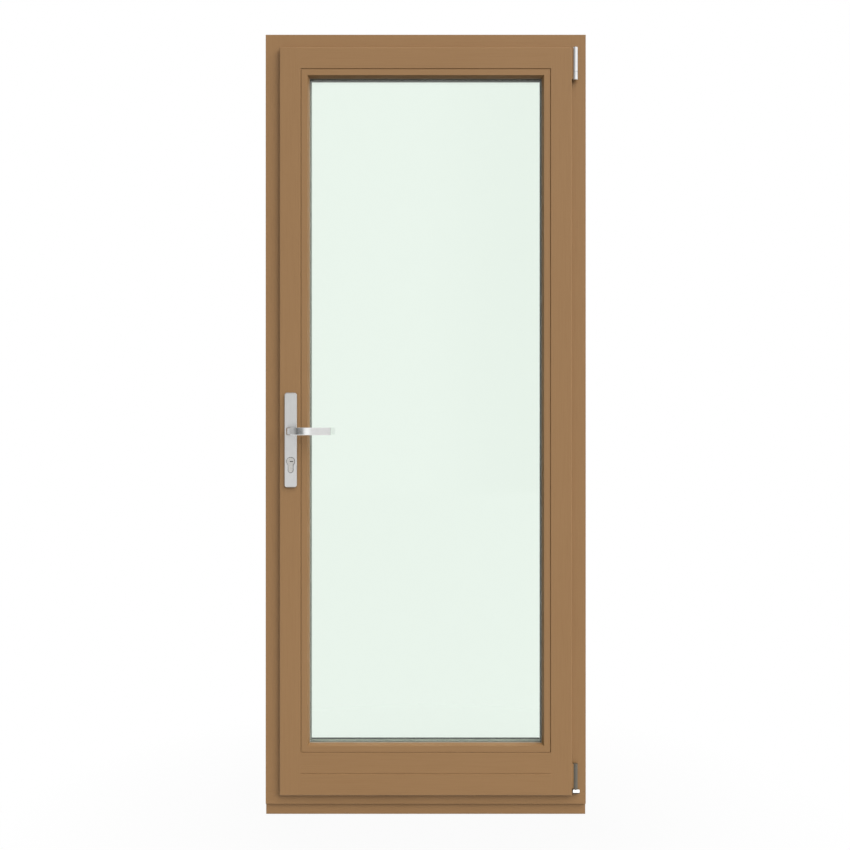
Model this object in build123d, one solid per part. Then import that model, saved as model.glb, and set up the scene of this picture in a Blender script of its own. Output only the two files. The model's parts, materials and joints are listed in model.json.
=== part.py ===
from build123d import *
from math import acos, cos, pi, radians, sin, tan
import os

os.makedirs("parts", exist_ok=True)

# Sizes in mm. X runs to the hinge side, Y from the room to the outside, Z up from the base underside.
# The pieces are drawn with Y zero on the room face of the frame, then moved to put the origin
# in the middle of the base underside.

# Timber frame
frame_width = 900
frame_height = 2162.5
frame_depth = 68
frame_face = 48
sill_face = 35.5
sill_arris_radius = 1.5
stop_depth = 16
stop_step = 25
frame_arris_radius = 3
fixing_radius = 3.25
fixing_depth = 26
fixing_low_gap = 172.5
fixing_high_gap = 220
fixing_count = 4

# Base profile under the sill
base_height = 32.5
base_setback = 10
base_arris_radius = 2
tongue_width = 8
tongue_height = 7
tongue_clearance = 0.2

# Outside slope of the sill and the rain rail on it
sill_drop = 8
sill_fall = 6
rail_wall = 2.5
rail_overhang = 8.5
rail_nose = 12
rail_cap_length = 3

# Timber leaf
lip_cover = 7
rebate_air = 12
leaf_proud = 18
leaf_depth = 68
lip_gap = 3
stile_face = 60
lower_board = 61
upper_board = 60
leaf_arris_radius = 3
groove = 1.4
tenon_length = 35
tenon_width = 12
tenon_setback = 16
tenon_shoulder = 7

# Glazing
bead_width = 23
bead_depth = 18
bead_bevel = 5
bead_bevel_depth = 12
bead_gap = 1.3
bead_gap_depth = 5
pane_thickness = 4
pane_space = 16
inner_seal = 3
outer_seal = 4
outer_sight_step = 5
seal_height = 10
inner_seal_sight = 1
outer_seal_sight = 3.5
edge_gap = 6
sealant_depth = 8
spacer_height = 12.5
setting_length = 100
setting_from_corner = 60

# Gasket on the leaf and drip bar outside
gasket_inset = 5
gasket_foot = 4
gasket_foot_depth = 6
gasket_head = 8
gasket_clearance = 0.4
drip_lift = 28
drip_foot = 22
drip_wall = 2.5
drip_overhang = 22
drip_fall = 10
drip_lip = 5
drip_tongue = 3
drip_tongue_depth = 6
drip_end_gap = 8

# Hinges
hinge_out = 10.3
hinge_proud = 10.2
knuckle_radius = 7.3
knuckle_end = 7
knuckle_edge = 0.8
strap_play = 0.3
pin_radius = 4
pin_play = 0.05
sleeve_radius = 6.4
collar_height = 8.6
collar_edge = 1.2
collar_corner = 2.5
collar_left = 8.2
collar_right = 11.6
bottom_hinge_rise = 1
seat_play = 0.2
bottom_knuckle = 71.4
top_hinge_rise = 2
top_knuckle = 69
top_eye = 22
top_gap = 0.6
top_foot = 8
top_foot_height = 50
strap_thickness = 4.2
strap_clearance = 0.7
strap_height = 36
strap_lift = 5
top_strap_height = 18
flange_thickness = 2.5
flange_depth = 34
flange_length = 90

# Lock gear in the edge of the leaf
gear_depth = 13
faceplate_thickness = 2.5
faceplate_width = 16
faceplate_end_gap = 45
bar_thickness = 2.9
bar_width = 10
bar_play = 0.3
bar_end_gap = 20
bar_groove_width = 12
bar_groove_depth = 9.5
stroke = 14
cam_low_gap = 180
cam_high_gap = 255
cam_below_handle = 280
cam_above_handle = 260
cam_neck = 3
cam_roller = 4.5
cam_reach = 7.5
cam_lift = 0.6
slot_play = 0.5
keeper_base = 2.5
keeper_width = 24
keeper_margin = 18
keeper_wall = 4
keeper_wall_gap = 0.8
keeper_top_gap = 1.5
corner_cut_share = 0.25

# Pinion and rack: a quarter turn of the lever moves the bar by one stroke
pinion_teeth = 12
teeth_per_stroke = 3
spare_windows = 2
pressure_angle = 20
rack_addendum = 1.0
pinion_addendum = 1.2
tooth_clearance = 0.25
backlash = 0.25
pinion_width = 5.6
rack_side_play = 0.4
hub_radius = 6.5
hub_play = 0.05
flank_steps = 2
case_wall = 1.5
case_cover = 2
case_depth = 15
case_half_height = 34
case_play = 0.3

# Handle
handle_inset = 32.5
handle_height = 1080
spindle_width = 7
spindle_play = 0.06
spindle_hole_radius = 10
cover_width = 34
cover_height = 264
cover_above = 108
cover_thickness = 9
cover_wall = 1.6
cover_corner = 7
cover_edge = 2.2
mounting_plate = 4
mounting_play = 0.3
collar_ring_radius = 13
collar_ring_proud = 4
collar_ring_play = 0.4
lever_height = 20.6
lever_neck_radius = 10.3
lever_reach = 61
lever_length = 115
lever_grip = 10
lever_tip_return = 6
lever_outer_bend = 38
lever_inner_bend = 18
lever_crown = 50
lever_crown_rise = 2.6
lever_bow = 200
lever_tip_round = 4
lever_arris = 1.4
lever_neck_length = 9
lever_socket = 18
grub_radius = 2.5
grub_length = 6
grub_play = 0.05

# Cylinder under the handle
cylinder_spacing = 84
cylinder_radius = 11
cylinder_height = 42
cylinder_web = 13
cylinder_proud = 2.5
cylinder_end = 3
cylinder_play = 0.4
cylinder_shadow_gap = 0.8
plug_radius = 8
plug_play = 0.05
plug_proud = 0.6
key_width = 8.8
key_start = 1.8
key_thickness = 2.8
key_depth = 22
cam_gap = 0.2
cam_thickness = 3.2
cam_radius = 7
cam_nose_radius = 10.5
cam_nose_width = 6
cam_pocket_play = 0.8

touch = 0.001

# Lines of the frame
half_width = frame_width / 2
frame_bottom = base_height
frame_top = base_height + frame_height
rebate_x = half_width - frame_face
rebate_top = frame_top - frame_face
rebate_bottom = frame_bottom + sill_face
stop_front = frame_depth - stop_depth
stop_x = rebate_x - stop_step
stop_top = rebate_top - stop_step
stop_bottom = rebate_bottom + stop_step

# Lines of the leaf
lip_x = rebate_x + lip_cover
lip_top = rebate_top + lip_cover
lip_bottom = rebate_bottom - lip_cover
leaf_front = -leaf_proud
leaf_back = leaf_front + leaf_depth
lip_back = -lip_gap
leaf_x = rebate_x - rebate_air
leaf_top = rebate_top - rebate_air
leaf_bottom = rebate_bottom + rebate_air
glaze_x = lip_x - stile_face
glaze_top = lip_top - stile_face
board_joint = lip_bottom + lower_board
glaze_bottom = board_joint + upper_board
sight_x = glaze_x - bead_width
sight_top = glaze_top - bead_width
sight_bottom = glaze_bottom + bead_width
outer_sight_x = sight_x + outer_sight_step
outer_sight_top = sight_top + outer_sight_step
bead_back = leaf_front + bead_depth
inner_pane_front = bead_back + inner_seal
inner_pane_back = inner_pane_front + pane_thickness
outer_pane_front = inner_pane_back + pane_space
outer_pane_back = outer_pane_front + pane_thickness
outer_lip_front = outer_pane_back + outer_seal

# Lines of the hinges
hinge_x = lip_x + hinge_out
hinge_y = -hinge_proud
collar_bottom = rebate_bottom + bottom_hinge_rise
collar_top = collar_bottom + collar_height
knuckle_bottom = collar_top + seat_play
knuckle_top = knuckle_bottom + bottom_knuckle
top_knuckle_top = lip_top + top_hinge_rise
top_knuckle_bottom = top_knuckle_top - top_knuckle
eye_top = top_knuckle_bottom - top_gap
eye_bottom = eye_top - top_eye
strap_back = -strap_clearance
strap_front = strap_back - strap_thickness
strap_bottom = knuckle_bottom + strap_lift
strap_top = strap_bottom + strap_height
top_strap_bottom = eye_bottom + (top_eye - top_strap_height) / 2
top_strap_top = top_strap_bottom + top_strap_height

# Lines of the lock gear, on the lock side where X is negative
gear_x = -leaf_x
faceplate_back = gear_x + faceplate_thickness
bar_front = faceplate_back + bar_play
bar_back = bar_front + bar_thickness
faceplate_bottom = leaf_bottom + faceplate_end_gap
faceplate_top = leaf_top - faceplate_end_gap
bar_bottom = faceplate_bottom + bar_end_gap
bar_top = faceplate_top - bar_end_gap - stroke
cam_heights = [
    leaf_bottom + cam_low_gap,
    handle_height - cam_below_handle,
    handle_height + cam_above_handle,
    leaf_top - cam_high_gap,
]
handle_x = -(lip_x - handle_inset)
rack_pitch = stroke / teeth_per_stroke
pitch_radius = rack_pitch * pinion_teeth / (2 * pi)
pitch_line = handle_x - pitch_radius
case_front = gear_depth - case_depth / 2
case_split = gear_depth + case_depth / 2 - case_cover
case_back = gear_depth + case_depth / 2
case_half_inner = pitch_radius + pinion_addendum + case_play
case_end = handle_x + case_half_inner + case_wall

# Lines of the handle and the cylinder
cover_front = leaf_front - cover_thickness
cover_top = handle_height + cover_above
cover_bottom = cover_top - cover_height
mounting_front = leaf_front - mounting_plate
collar_front = cover_front - collar_ring_proud
lever_front = leaf_front - lever_reach
cylinder_z = handle_height - cylinder_spacing
cylinder_front = cover_front - cylinder_proud
cylinder_foot = cylinder_z + cylinder_radius - cylinder_height + cylinder_web / 2


def outline(corners):
    # a closed face through the corners, where a fourth value rounds a corner
    points = [Vector(*corner[:3]) for corner in corners]
    rounds = [corner[3] if len(corner) > 3 else 0 for corner in corners]
    edges = []
    ends = []
    for index, point in enumerate(points):
        to_last = (points[index - 1] - point).normalized()
        to_next = (points[(index + 1) % len(points)] - point).normalized()
        if not rounds[index]:
            ends.append((point, point))
            continue
        half = radians(to_last.get_angle(to_next)) / 2
        run = rounds[index] / tan(half)
        inset = rounds[index] / sin(half) - rounds[index]
        middle = point + (to_last + to_next).normalized() * inset
        ends.append((point + to_last * run, point + to_next * run))
        edges.append(ThreePointArc(ends[-1][0], middle, ends[-1][1]))
    for index in range(len(points)):
        edges.append(Line(ends[index - 1][1], ends[index][0]))
    return make_face(edges)


def along_x(corners, x0, x1):
    face = outline([(x0, *corner) for corner in corners])
    return extrude(face, x1 - x0, dir=(1, 0, 0))


def along_y(corners, y0, y1):
    face = outline([(corner[0], y0, *corner[1:]) for corner in corners])
    return extrude(face, y1 - y0, dir=(0, 1, 0))


def along_z(corners, z0, z1):
    face = outline([(corner[0], corner[1], z0, *corner[2:]) for corner in corners])
    return extrude(face, z1 - z0, dir=(0, 0, 1))


def block(x0, x1, y0, y1, z0, z1):
    middle = Pos((x0 + x1) / 2, (y0 + y1) / 2, (z0 + z1) / 2)
    return middle * Box(abs(x1 - x0), abs(y1 - y0), abs(z1 - z0))


def rod(start, direction, length, radius):
    rest = (Align.CENTER, Align.CENTER, Align.MIN)
    return Plane(origin=start, z_dir=direction).location * Cylinder(radius, length, align=rest)


def rod_x(x0, x1, y, z, radius):
    return rod((x0, y, z), (1, 0, 0), x1 - x0, radius)


def rod_y(x, y0, y1, z, radius):
    return rod((x, y0, z), (0, 1, 0), y1 - y0, radius)


def rod_z(x, y, z0, z1, radius):
    return rod((x, y, z0), (0, 0, 1), z1 - z0, radius)


def slab(x, z0, z1, y0, y1):
    return block(-x, x, y0, y1, z0, z1)


def window(x, z0, z1, width, y0, y1):
    return slab(x, z0, z1, y0, y1) - slab(x - width, z0 + width, z1 - width, y0, y1)


def lozenge(y, z0, z1, width):
    # a long plate or bar with its corners cut off, in the Y and Z directions
    half = width / 2
    cut = width * corner_cut_share
    low_end = [(y - half, z0 + cut), (y - half + cut, z0), (y + half - cut, z0), (y + half, z0 + cut)]
    high_end = [(y + half, z1 - cut), (y + half - cut, z1), (y - half + cut, z1), (y - half, z1 - cut)]
    return low_end + high_end


def edges_on(shape, y, x, z_values):
    # the edges in one Y plane that lie on the lines at plus and minus x or at the given heights
    chosen = []
    for edge in shape.edges():
        box = edge.bounding_box()
        if abs(box.min.Y - y) > touch or abs(box.max.Y - y) > touch:
            continue
        upright = box.max.X - box.min.X < touch and abs(abs(box.min.X) - x) < touch
        level = box.max.Z - box.min.Z < touch and any(abs(box.min.Z - z) < touch for z in z_values)
        if upright or level:
            chosen.append(edge)
    return chosen


def solid_group(shapes):
    return Compound([solid for shape in shapes for solid in shape.solids()])


# Sill, with a groove for the tongue of the base profile
base_back = frame_depth - base_setback
tongue_front = (base_setback + base_back - tongue_width) / 2
tongue_back = tongue_front + tongue_width
sill_step = rebate_bottom - sill_drop
sill_slope = sill_fall / stop_depth
sill_corners = [
    (0, frame_bottom),
    (0, rebate_bottom, sill_arris_radius),
    (stop_front, rebate_bottom),
    (stop_front, sill_step),
    (frame_depth, sill_step - sill_fall),
    (frame_depth, frame_bottom),
]
sill_blank = block(-half_width, half_width, 0, stop_front, frame_bottom, rebate_bottom)
sill_blank += along_x(sill_corners, -half_width, half_width)
frame_sill = along_x(sill_corners, -half_width, half_width)
frame_sill -= block(
    -half_width, half_width,
    tongue_front - tongue_clearance, tongue_back + tongue_clearance,
    frame_bottom, frame_bottom + tongue_height + tongue_clearance,
)
base_corners = [
    (base_setback, 0, base_arris_radius),
    (base_setback, frame_bottom),
    (tongue_front, frame_bottom),
    (tongue_front, frame_bottom + tongue_height),
    (tongue_back, frame_bottom + tongue_height),
    (tongue_back, frame_bottom),
    (base_back, frame_bottom),
    (base_back, 0, base_arris_radius),
]
sill_base = along_x(base_corners, -half_width, half_width)


# Frame ring cut into head and jambs, with the head tenoned into the jambs
def jamb_region(side):
    region = block(side * rebate_x, side * half_width, 0, frame_depth, frame_bottom, frame_top)
    return region - block(
        side * rebate_x, side * (rebate_x + tenon_length),
        tenon_setback, tenon_setback + tenon_width,
        rebate_top + tenon_shoulder, frame_top - tenon_shoulder,
    )


frame_ring = slab(half_width, frame_bottom, frame_top, 0, frame_depth)
frame_ring -= slab(rebate_x, frame_bottom, rebate_top, 0, frame_depth)
frame_ring = fillet(edges_on(frame_ring, 0, rebate_x, [rebate_top]), frame_arris_radius)
frame_ring -= sill_blank
frame_head = frame_ring - jamb_region(-1) - jamb_region(1)
frame_lock_jamb = frame_ring & jamb_region(-1)
frame_hinge_jamb = frame_ring & jamb_region(1)
fixing_pitch = (frame_height - fixing_low_gap - fixing_high_gap) / (fixing_count - 1)
fixing_heights = [frame_bottom + fixing_low_gap + fixing_pitch * index for index in range(fixing_count)]
for height in fixing_heights:
    frame_lock_jamb -= rod_x(-half_width, -rebate_x, fixing_depth, height, fixing_radius)
    frame_hinge_jamb -= rod_x(rebate_x, half_width, fixing_depth, height, fixing_radius)

# Stop strips that the leaf shuts against, mitred at the top corners
stop_ring = slab(rebate_x, frame_bottom, rebate_top, stop_front, frame_depth)
stop_ring -= slab(stop_x, frame_bottom, stop_top, stop_front, frame_depth)
stop_ring = chamfer(edges_on(stop_ring, frame_depth, stop_x, [stop_top]), frame_arris_radius)
stop_ring -= sill_blank


def stop_strip(corners):
    return stop_ring & along_y(corners, stop_front, frame_depth)


def side_stop(side):
    foot = [(side * stop_x, frame_bottom), (side * rebate_x, frame_bottom)]
    return stop_strip(foot + [(side * rebate_x, rebate_top), (side * stop_x, stop_top)])


frame_lock_stop = side_stop(-1)
frame_hinge_stop = side_stop(1)
frame_head_stop = stop_strip(
    [(-stop_x, stop_top), (stop_x, stop_top), (rebate_x, rebate_top), (-rebate_x, rebate_top)]
)

# Rain rail on the sill slope, between two end caps
rail_out = frame_depth + rail_overhang
rail_root = stop_front + rail_wall


def slope_height(y):
    return sill_step - sill_slope * (y - stop_front)


rail_corners = [
    (stop_front, sill_step),
    (stop_front, stop_bottom),
    (rail_root, stop_bottom),
    (rail_root, slope_height(rail_root) + rail_wall),
    (rail_out, slope_height(rail_out) + rail_wall),
    (rail_out, slope_height(rail_out) + rail_wall - rail_nose),
    (rail_out - rail_wall, slope_height(rail_out) + rail_wall - rail_nose),
    (rail_out - rail_wall, slope_height(rail_out - rail_wall)),
]
rail_x = stop_x - rail_cap_length
rain_rail = along_x(rail_corners, -rail_x, rail_x)
cap_corners = [
    (stop_front, sill_step),
    (stop_front, stop_bottom),
    (rail_root + rail_wall, stop_bottom, rail_wall),
    (rail_out, slope_height(rail_out) + rail_wall, rail_wall),
    (rail_out, slope_height(rail_out) + rail_wall - rail_nose),
    (rail_out - rail_wall, slope_height(rail_out) + rail_wall - rail_nose),
    (rail_out - rail_wall, slope_height(rail_out - rail_wall)),
]
rain_rail_caps = solid_group([along_x(cap_corners, -stop_x, -rail_x), along_x(cap_corners, rail_x, stop_x)])

# Leaf ring: lip slab in front, body behind, glass rebate and sight opening cut out
lip_slab = slab(lip_x, lip_bottom, lip_top, leaf_front, lip_back)
lip_slab = fillet(edges_on(lip_slab, leaf_front, lip_x, [lip_bottom, lip_top]), leaf_arris_radius)
leaf_body = slab(leaf_x, leaf_bottom, leaf_top, lip_back, leaf_back)
leaf_body = chamfer(edges_on(leaf_body, leaf_back, leaf_x, [leaf_bottom, leaf_top]), leaf_arris_radius)
leaf_ring = lip_slab + leaf_body
leaf_ring -= slab(glaze_x, glaze_bottom, glaze_top, leaf_front, outer_lip_front)
leaf_ring -= slab(outer_sight_x, sight_bottom, outer_sight_top, outer_lip_front, leaf_back)
leaf_ring = chamfer(edges_on(leaf_ring, leaf_front, glaze_x, [glaze_bottom, glaze_top]), groove)
outer_edges = edges_on(leaf_ring, leaf_back, outer_sight_x, [sight_bottom, outer_sight_top])
leaf_ring = fillet(outer_edges, leaf_arris_radius)
gasket_x = leaf_x - gasket_inset
gasket_bottom = leaf_bottom + gasket_inset
gasket_top = leaf_top - gasket_inset
gasket_root = leaf_back - gasket_foot_depth
leaf_ring -= window(gasket_x, gasket_bottom, gasket_top, gasket_foot, gasket_root, leaf_back)
joint_corners = [
    (leaf_front, board_joint - groove),
    (leaf_front + groove, board_joint),
    (leaf_front, board_joint + groove),
]
leaf_ring -= along_x(joint_corners, -glaze_x, glaze_x)
drip_middle = leaf_bottom + drip_lift
drip_x = stop_x - drip_end_gap
leaf_ring -= block(
    -drip_x, drip_x, leaf_back - drip_tongue_depth, leaf_back,
    drip_middle - drip_tongue / 2, drip_middle + drip_tongue / 2,
)

# Leaf ring cut into stiles and rails, with the rails tenoned into the stiles
tenon_back = leaf_back - tenon_setback
tenon_front = tenon_back - tenon_width
tenon_spans = [(leaf_bottom, board_joint), (board_joint, glaze_bottom), (glaze_top, leaf_top)]


def stile_region(side):
    region = block(side * glaze_x, side * lip_x, leaf_front, leaf_back, lip_bottom, lip_top)
    region += block(side * sight_x, side * glaze_x, outer_lip_front, leaf_back, lip_bottom, lip_top)
    for low, high in tenon_spans:
        region -= block(
            side * sight_x, side * (glaze_x + tenon_length), tenon_front, tenon_back,
            low + tenon_shoulder, high - tenon_shoulder,
        )
    return region


leaf_lock_stile = leaf_ring & stile_region(-1)
leaf_hinge_stile = leaf_ring & stile_region(1)
leaf_rails = leaf_ring - stile_region(-1) - stile_region(1)
leaf_top_rail = leaf_rails & slab(lip_x, sight_top, lip_top, leaf_front, leaf_back)
leaf_upper_board = leaf_rails & slab(lip_x, board_joint, sight_bottom, leaf_front, leaf_back)
leaf_lower_board = leaf_rails & slab(lip_x, lip_bottom, board_joint, leaf_front, leaf_back)

# Glazing beads, mitred at the corners and bevelled towards the glass
bead_ring = slab(glaze_x, glaze_bottom, glaze_top, leaf_front, bead_back)
bead_ring = chamfer(edges_on(bead_ring, leaf_front, glaze_x, [glaze_bottom, glaze_top]), groove)
bead_ring -= slab(sight_x, sight_bottom, sight_top, leaf_front, bead_back)
bead_ring -= window(glaze_x, glaze_bottom, glaze_top, bead_gap, leaf_front, leaf_front + bead_gap_depth)


def rectangle(x, z0, z1):
    return [(-x, z0), (x, z0), (x, z1), (-x, z1)]


def sight_face(grow, y):
    corners = rectangle(sight_x + grow, sight_bottom - grow, sight_top + grow)
    return outline([(x, y, z) for x, z in corners])


bead_ring -= loft([sight_face(bead_bevel, leaf_front), sight_face(0, leaf_front + bead_bevel_depth)])


def bead(corners):
    return bead_ring & along_y(corners, leaf_front, bead_back)


outer_corners = rectangle(glaze_x, glaze_bottom, glaze_top)
inner_corners = rectangle(sight_x, sight_bottom, sight_top)
bead_lock, bead_bottom, bead_hinge, bead_top = [
    bead([outer_corners[end - 1], outer_corners[end], inner_corners[end], inner_corners[end - 1]])
    for end in range(len(outer_corners))
]

# Double glazing: two panes on a spacer, sealed at the edge, standing on setting blocks
glass_x = glaze_x - edge_gap
glass_bottom = glaze_bottom + edge_gap
glass_top = glaze_top - edge_gap
inner_pane = slab(glass_x, glass_bottom, glass_top, inner_pane_front, inner_pane_back)
outer_pane = slab(glass_x, glass_bottom, glass_top, outer_pane_front, outer_pane_back)
edge_sealant = window(glass_x, glass_bottom, glass_top, sealant_depth, inner_pane_back, outer_pane_front)
spacer_bar = window(
    glass_x - sealant_depth, glass_bottom + sealant_depth, glass_top - sealant_depth,
    spacer_height, inner_pane_back, outer_pane_front,
)
inner_edge = seal_height - inner_seal_sight
inner_seal_lines = (sight_x + inner_edge, sight_bottom - inner_edge, sight_top + inner_edge)
inner_glazing_seal = window(*inner_seal_lines, seal_height, bead_back, inner_pane_front)
outer_edge = seal_height - outer_seal_sight
outer_seal_lines = (outer_sight_x + outer_edge, sight_bottom - outer_edge, outer_sight_top + outer_edge)
outer_glazing_seal = window(*outer_seal_lines, seal_height, outer_pane_back, outer_lip_front)
setting_start = glass_x - setting_from_corner - setting_length
setting_end = glass_x - setting_from_corner
foot_start = glass_bottom + setting_from_corner
head_end = glass_top - setting_from_corner
setting_limits = [
    (-setting_end, -setting_start, glaze_bottom, glass_bottom),
    (setting_start, setting_end, glaze_bottom, glass_bottom),
    (glass_x, glaze_x, foot_start, foot_start + setting_length),
    (-glaze_x, -glass_x, head_end - setting_length, head_end),
]
setting_blocks = solid_group([
    block(x0, x1, inner_pane_front, outer_pane_back, z0, z1) for x0, x1, z0, z1 in setting_limits
])

# Gasket in the groove round the back of the leaf
gasket_face = stop_front - gasket_clearance
gasket_spread = (gasket_head - gasket_foot) / 2
leaf_gasket = window(gasket_x, gasket_bottom, gasket_top, gasket_foot, gasket_root, leaf_back)
leaf_gasket += window(
    gasket_x + gasket_spread, gasket_bottom - gasket_spread, gasket_top + gasket_spread,
    gasket_head, leaf_back, gasket_face,
)

# Drip bar on the outside of the lower board
drip_root = leaf_back + drip_wall
drip_out = leaf_back + drip_overhang
drip_low = drip_middle - drip_foot / 2
drip_high = drip_middle + drip_foot / 2
drip_corners = [
    (leaf_back, drip_low),
    (leaf_back, drip_middle - drip_tongue / 2),
    (leaf_back - drip_tongue_depth, drip_middle - drip_tongue / 2),
    (leaf_back - drip_tongue_depth, drip_middle + drip_tongue / 2),
    (leaf_back, drip_middle + drip_tongue / 2),
    (leaf_back, drip_high),
    (drip_root, drip_high),
    (drip_out, drip_high - drip_fall),
    (drip_out, drip_high - drip_fall - drip_wall - drip_lip),
    (drip_out - drip_wall, drip_high - drip_fall - drip_wall - drip_lip),
    (drip_out - drip_wall, drip_high - drip_fall - drip_wall),
    (drip_root, drip_high - drip_wall - drip_wall),
    (drip_root, drip_low),
]
drip_bar = along_x(drip_corners, -drip_x, drip_x)

# Bottom hinge: collar and pin on the jamb, sleeve and strap on the leaf
collar_corners = [
    (hinge_x - collar_left, 0),
    (hinge_x - collar_left, hinge_y - sleeve_radius, collar_corner),
    (hinge_x + collar_right, hinge_y - sleeve_radius, collar_corner),
    (hinge_x + collar_right, 0),
]
bottom_hinge_bearing = along_z(collar_corners, collar_bottom, collar_top)
bottom_hinge_bearing = chamfer(bottom_hinge_bearing.edges().group_by(Axis.Z)[-1], collar_edge)
bore_top = knuckle_top - knuckle_end
pin_bore = pin_radius + pin_play
bottom_hinge_bearing -= rod_z(hinge_x, hinge_y, collar_bottom, collar_top, pin_bore)
bottom_hinge_pin = rod_z(hinge_x, hinge_y, collar_bottom, bore_top, pin_radius)


def strap(low, high, flange_low, flange_high):
    arm = block(leaf_x, hinge_x, strap_front, strap_back, low, high)
    flange_end = leaf_x + flange_thickness
    return arm + block(leaf_x, flange_end, strap_front, strap_front + flange_depth, flange_low, flange_high)


bottom_flange = (strap_bottom, strap_bottom + flange_length)
top_flange = (top_strap_top - flange_length, top_strap_top)
bottom_hinge_strap = rod_z(hinge_x, hinge_y, knuckle_bottom, knuckle_top, sleeve_radius)
bottom_hinge_strap = chamfer(bottom_hinge_strap.edges().group_by(Axis.Z)[-1], knuckle_edge)
bottom_hinge_strap += strap(strap_bottom, strap_top, *bottom_flange)
bottom_hinge_strap -= rod_z(hinge_x, hinge_y, knuckle_bottom, bore_top, pin_bore)

# Top hinge: bearing with its pin on the jamb, eye and strap on the leaf
top_foot_bottom = (top_knuckle_bottom + top_knuckle_top - top_foot_height) / 2
top_foot_top = top_foot_bottom + top_foot_height
top_bore = top_knuckle_top - knuckle_end
top_hinge_bearing = rod_z(hinge_x, hinge_y, top_knuckle_bottom, top_knuckle_top, knuckle_radius)
top_hinge_bearing = chamfer(top_hinge_bearing.edges().group_by(Axis.Z)[-1], knuckle_edge)
top_hinge_bearing += block(
    hinge_x - top_foot / 2, hinge_x + top_foot / 2, hinge_y, 0, top_foot_bottom, top_foot_top
)
top_hinge_bearing -= rod_z(hinge_x, hinge_y, top_knuckle_bottom, top_bore, pin_bore)
top_hinge_pin = rod_z(hinge_x, hinge_y, eye_bottom, top_bore, pin_radius)
top_hinge_strap = rod_z(hinge_x, hinge_y, eye_bottom, eye_top, knuckle_radius)
top_hinge_strap += strap(top_strap_bottom, top_strap_top, *top_flange)
top_hinge_strap -= rod_z(hinge_x, hinge_y, eye_bottom, eye_top, pin_bore)
for low, high in (bottom_flange, top_flange):
    leaf_hinge_stile -= block(
        leaf_x, lip_x, strap_front - strap_play, lip_back, low - strap_play, high + strap_play
    )

# Pinion with involute flanks, and the windows it drives in the bar
half_tooth = (rack_pitch - backlash) / 4
tilt = radians(pressure_angle)
base_radius = pitch_radius * cos(tilt)
tip_radius = pitch_radius + pinion_addendum
root_radius = pitch_radius - rack_addendum - tooth_clearance


def involute(angle):
    return tan(angle) - angle


def flank_point(radius, tooth, side):
    roll = involute(acos(min(1, base_radius / radius)))
    half = half_tooth / pitch_radius + involute(tilt) - roll
    turn = pi + 2 * pi * tooth / pinion_teeth + side * half
    return (handle_x + radius * cos(turn), handle_height + radius * sin(turn))


flank = [base_radius + (tip_radius - base_radius) * step / flank_steps for step in range(flank_steps + 1)]
pinion_corners = []
for tooth in range(pinion_teeth):
    pinion_corners += [flank_point(radius, tooth, -1) for radius in [root_radius] + flank]
    pinion_corners += [flank_point(radius, tooth, 1) for radius in flank[::-1] + [root_radius]]
pinion_front = gear_depth - pinion_width / 2
pinion_back = gear_depth + pinion_width / 2
follower_pinion = along_y(pinion_corners, pinion_front, pinion_back)
follower_pinion += rod_y(handle_x, case_front, case_back, handle_height, hub_radius)
socket = spindle_width / 2 + spindle_play
follower_pinion -= block(
    handle_x - socket, handle_x + socket, case_front, case_back,
    handle_height - socket, handle_height + socket,
)

# Drive bar with rack windows
window_front = pinion_front - rack_side_play
window_back = pinion_back + rack_side_play
window_steps = range(-teeth_per_stroke - spare_windows, teeth_per_stroke)


def rung_half(x):
    return half_tooth + (pitch_line - x) * tan(tilt)


drive_bar = along_x(lozenge(gear_depth, bar_bottom, bar_top, bar_width), bar_front, bar_back)
for step in window_steps:
    low = handle_height + (step - 1 / 2) * rack_pitch
    high = low + rack_pitch
    drive_bar -= along_y(
        [
            (bar_front, low + rung_half(bar_front)),
            (bar_back, low + rung_half(bar_back)),
            (bar_back, high - rung_half(bar_back)),
            (bar_front, high - rung_half(bar_front)),
        ],
        window_front, window_back,
    )

# Locking cams on the bar, and the faceplate they reach through
cam_front = gear_x - cam_reach
locking_cams = []
for height in cam_heights:
    roller = rod_x(cam_front, gear_x - cam_lift, gear_depth, height, cam_roller)
    neck = block(
        gear_x - cam_lift, bar_front, gear_depth - cam_neck, gear_depth + cam_neck,
        height - cam_neck, height + cam_neck,
    )
    locking_cams.append(roller + neck)
gear_faceplate = along_x(
    lozenge(gear_depth, faceplate_bottom, faceplate_top, faceplate_width), gear_x, faceplate_back
)
neck_slot = cam_neck + slot_play
for height in cam_heights:
    gear_faceplate -= block(
        gear_x, faceplate_back, gear_depth - neck_slot, gear_depth + neck_slot,
        height - neck_slot, height + stroke + neck_slot,
    )

# Gear case behind the faceplate, with its cover
case_low = handle_height - case_half_height
case_high = handle_height + case_half_height
gear_case = block(faceplate_back, case_end, case_front, case_split, case_low, case_high)
gear_case -= block(
    faceplate_back, case_end - case_wall, case_front + case_wall, case_split,
    handle_height - case_half_inner, handle_height + case_half_inner,
)
gear_case -= block(
    faceplate_back, bar_back + bar_play, gear_depth - bar_width / 2 - bar_play,
    gear_depth + bar_width / 2 + bar_play, case_low, case_high,
)
gear_cover = block(faceplate_back, case_end, case_split, case_back, case_low, case_high)
hub_bore = rod_y(handle_x, case_front, case_back, handle_height, hub_radius + hub_play)
gear_case -= hub_bore
gear_cover -= hub_bore

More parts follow.
